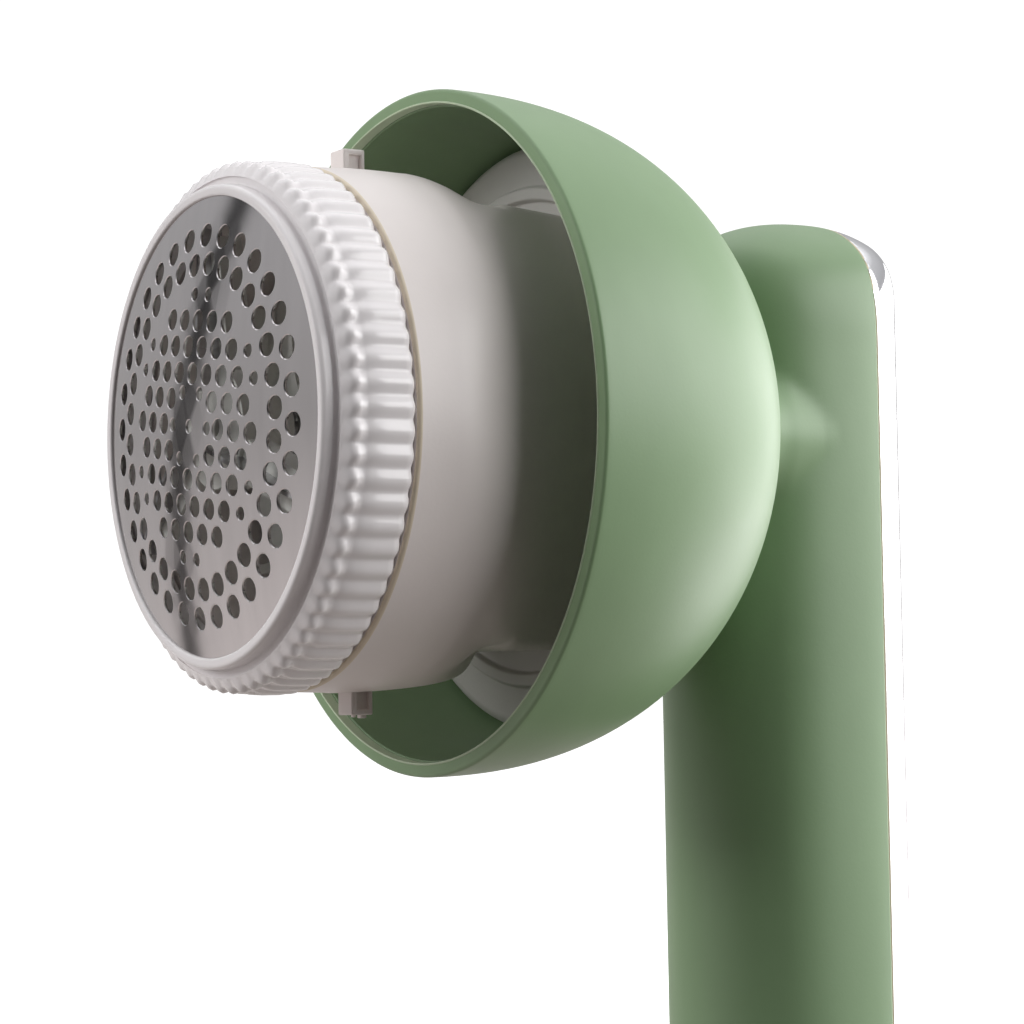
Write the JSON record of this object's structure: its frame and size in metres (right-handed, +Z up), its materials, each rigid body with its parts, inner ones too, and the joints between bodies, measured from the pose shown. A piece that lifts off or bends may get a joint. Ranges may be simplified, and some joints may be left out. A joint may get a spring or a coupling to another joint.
{
  "type": "fabric shaver",
  "caption": "Upright cordless fabric shaver: a round handle carrying a perforated domed foil head with a ribbed ring, set inside a bowl-shaped hood.",
  "frame": {"origin": "middle of the handle's flat foot", "axes": "+Z up along the handle, the foil faces -Y, +X to the right seen from the foil's side"},
  "size_m": [0.0746, 0.0911, 0.1793],
  "materials": {
    "green_plastic": "satin",
    "chrome": "polished plating",
    "white_plastic": "glossy",
    "cream_plastic": "satin",
    "grey_plastic": "satin",
    "foil_steel": "polished",
    "blade_steel": "ground",
    "screw_steel": "plated",
    "can_steel": "plated",
    "magnet": "matte",
    "bronze": "sintered",
    "copper_winding": "lacquered",
    "brass_contact": "plated",
    "nylon_white": "matte",
    "cell_wrap": "shrink wrap",
    "black_plastic": "matte",
    "nickel": "plated",
    "lead_red": "insulation",
    "board_green": "solder mask",
    "led_lens": "clear",
    "switch_grey": "matte",
    "button_green": "satin"
  },
  "bodies": {
    "body": {"handle_front_shell": "green_plastic", "handle_back_cover": "chrome", "base_cap": "green_plastic", "base_screw": "screw_steel", "bowl_shell": "green_plastic", "bowl_screws": "screw_steel", "inner_plate": "grey_plastic", "plate_screws": "screw_steel", "head_housing": "cream_plastic", "neck_screws": "screw_steel", "motor_mount": "grey_plastic", "motor_screws": "screw_steel", "motor_can": "can_steel", "motor_bush": "bronze", "motor_magnets": "magnet", "motor_end_cap": "nylon_white", "motor_terminals": "brass_contact", "battery_cell": "cell_wrap", "battery_tray": "black_plastic", "battery_tabs": "nickel", "battery_leads": "lead_red", "motor_leads": "lead_red", "circuit_board": "board_green", "board_components": "black_plastic", "usb_socket": "screw_steel", "charge_led": "led_lens", "light_pipe": "led_lens", "tact_switch": "black_plastic"},
    "foil_cap": {"foil_ring": "white_plastic", "shaving_foil": "foil_steel", "foil_retainer": "white_plastic"},
    "rotor": {"motor_shaft": "blade_steel", "motor_armature": "copper_winding", "commutator": "brass_contact", "suction_fan": "nylon_white", "blade_spring": "blade_steel"},
    "blade_head": {"blade_carrier": "nylon_white", "shaving_blades": "blade_steel"},
    "button": {"power_button": "button_green"},
    "plunger": {"switch_plunger": "switch_grey"}
  },
  "joints": [
    {"name": "foil_ring_twist", "type": "hinge", "parent": "body", "child": "foil_cap", "pos_m": [0, -0.0747, 0.142], "axis": [0, -1, 0], "range_deg": [0, 35]},
    {"name": "rotor_spin", "type": "hinge", "parent": "body", "child": "rotor", "pos_m": [0, -0.0747, 0.142], "axis": [0, -1, 0], "continuous": true},
    {"name": "blade_float", "type": "slide", "parent": "rotor", "child": "blade_head", "axis": [0, 1, 0], "range_m": [0, 0.0008], "stiffness_N_per_m": 400, "springref_m": -0.001, "deforming": ["blade_spring"]},
    {"name": "button_press", "type": "slide", "parent": "body", "child": "button", "axis": [0, -1, 0], "range_m": [0, 0.0006], "stiffness_N_per_m": 1500, "springref_m": -0.0005},
    {"name": "plunger_press", "type": "slide", "parent": "body", "child": "plunger", "axis": [0, -1, 0], "range_m": [0, 0.0006]}
  ],
  "couplings": [
    {"joint": "plunger_press", "follows": "button_press", "ratio": 1}
  ]
}
